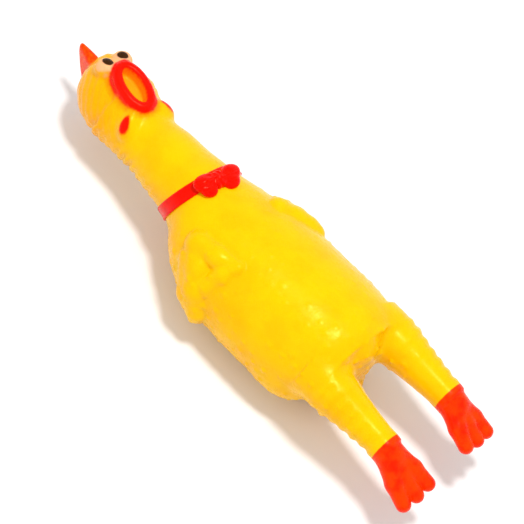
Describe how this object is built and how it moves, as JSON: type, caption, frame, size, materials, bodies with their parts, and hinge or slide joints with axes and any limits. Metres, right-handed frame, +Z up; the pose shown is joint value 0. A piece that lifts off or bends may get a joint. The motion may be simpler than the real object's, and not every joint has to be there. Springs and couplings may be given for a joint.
{
  "type": "rubber squeeze chicken",
  "caption": "Hollow soft vinyl squeeze chicken lying on its back, yellow pimpled skin, open red beak, red collar with bow, orange-red feet.",
  "frame": {"origin": "centre of the footprint, on the table the back rests on", "axes": "+X toward the chicken's left side, +Y toward the head, +Z up out of the belly"},
  "size_m": [0.0937, 0.3284, 0.0751],
  "materials": {
    "yellow_vinyl": "soft gloss",
    "red_paint": "gloss",
    "orange_paint": "gloss",
    "orange_red_paint": "gloss",
    "cream_paint": "gloss",
    "dark_paint": "gloss",
    "squeaker_plastic": "satin"
  },
  "bodies": {
    "torso": {"torso_shell": "yellow_vinyl", "collar": "red_paint", "bow_left_loop": "red_paint", "bow_right_loop": "red_paint", "bow_knot": "red_paint", "tail": "yellow_vinyl", "vent_lobe": "yellow_vinyl", "left_wing": "yellow_vinyl", "right_wing": "yellow_vinyl"},
    "belly": {"belly_panel": "yellow_vinyl"},
    "neck_low": {"neck_lower": "yellow_vinyl"},
    "neck_up": {"neck_upper": "yellow_vinyl"},
    "head": {"head_shell": "yellow_vinyl", "comb": "red_paint", "beak_lips": "red_paint", "mouth_lining": "orange_paint", "left_eye_white": "cream_paint", "right_eye_white": "cream_paint", "left_pupil": "dark_paint", "right_pupil": "dark_paint", "left_wattle": "red_paint", "right_wattle": "red_paint", "squeaker_barrel": "squeaker_plastic", "squeaker_cap": "squeaker_plastic", "squeaker_trough": "squeaker_plastic", "squeaker_wedge": "squeaker_plastic"},
    "reed": {"squeaker_reed": "squeaker_plastic"},
    "left_thigh_body": {"left_thigh": "yellow_vinyl"},
    "left_shank_body": {"left_shank": "yellow_vinyl"},
    "left_foot_body": {"left_foot": "orange_red_paint"},
    "right_thigh_body": {"right_thigh": "yellow_vinyl"},
    "right_shank_body": {"right_shank": "yellow_vinyl"},
    "right_foot_body": {"right_foot": "orange_red_paint"}
  },
  "joints": [
    {"name": "neck_sway", "type": "hinge", "parent": "torso", "child": "neck_low", "pos_m": [0.00266, 0.05598, 0.04579], "axis": [0, 0, 1], "range_deg": [-15, 15], "stiffness_Nm_per_rad": 2},
    {"name": "neck_arch", "type": "hinge", "parent": "neck_low", "child": "neck_up", "pos_m": [0.00375, 0.06986, 0.04433], "axis": [1, 0, 0], "range_deg": [-12, 12], "stiffness_Nm_per_rad": 3},
    {"name": "head_nod", "type": "hinge", "parent": "neck_up", "child": "head", "pos_m": [0.00484, 0.08374, 0.04286], "axis": [1, 0, 0], "range_deg": [-12, 12], "stiffness_Nm_per_rad": 2.5},
    {"name": "belly_press", "type": "slide", "parent": "torso", "child": "belly", "axis": [0, 0, -1], "range_m": [0, 0.014], "stiffness_N_per_m": 300},
    {"name": "left_leg_spread", "type": "hinge", "parent": "torso", "child": "left_thigh_body", "pos_m": [0.0284, -0.083, 0.049], "axis": [0, 0, 1], "range_deg": [-3, 10], "stiffness_Nm_per_rad": 1.5},
    {"name": "left_knee_bend", "type": "hinge", "parent": "left_thigh_body", "child": "left_shank_body", "pos_m": [0.0284, -0.099, 0.049], "axis": [1, 0, 0], "range_deg": [-15, 15], "stiffness_Nm_per_rad": 1.5},
    {"name": "left_ankle_bend", "type": "hinge", "parent": "left_shank_body", "child": "left_foot_body", "pos_m": [0.0284, -0.121, 0.049], "axis": [1, 0, 0], "range_deg": [-12, 15], "stiffness_Nm_per_rad": 0.8},
    {"name": "right_leg_spread", "type": "hinge", "parent": "torso", "child": "right_thigh_body", "pos_m": [-0.0244, -0.083, 0.049], "axis": [0, 0, -1], "range_deg": [-3, 10], "stiffness_Nm_per_rad": 1.5},
    {"name": "right_knee_bend", "type": "hinge", "parent": "right_thigh_body", "child": "right_shank_body", "pos_m": [-0.0244, -0.099, 0.049], "axis": [1, 0, 0], "range_deg": [-15, 15], "stiffness_Nm_per_rad": 1.5},
    {"name": "right_ankle_bend", "type": "hinge", "parent": "right_shank_body", "child": "right_foot_body", "pos_m": [-0.0244, -0.121, 0.049], "axis": [1, 0, 0], "range_deg": [-12, 15], "stiffness_Nm_per_rad": 0.8},
    {"name": "reed_beat", "type": "hinge", "parent": "head", "child": "reed", "pos_m": [0.00987, 0.12497, 0.04183], "axis": [0.9877, -0.1564, 0], "range_deg": [-1.5, 1.5], "stiffness_Nm_per_rad": 0.002}
  ]
}
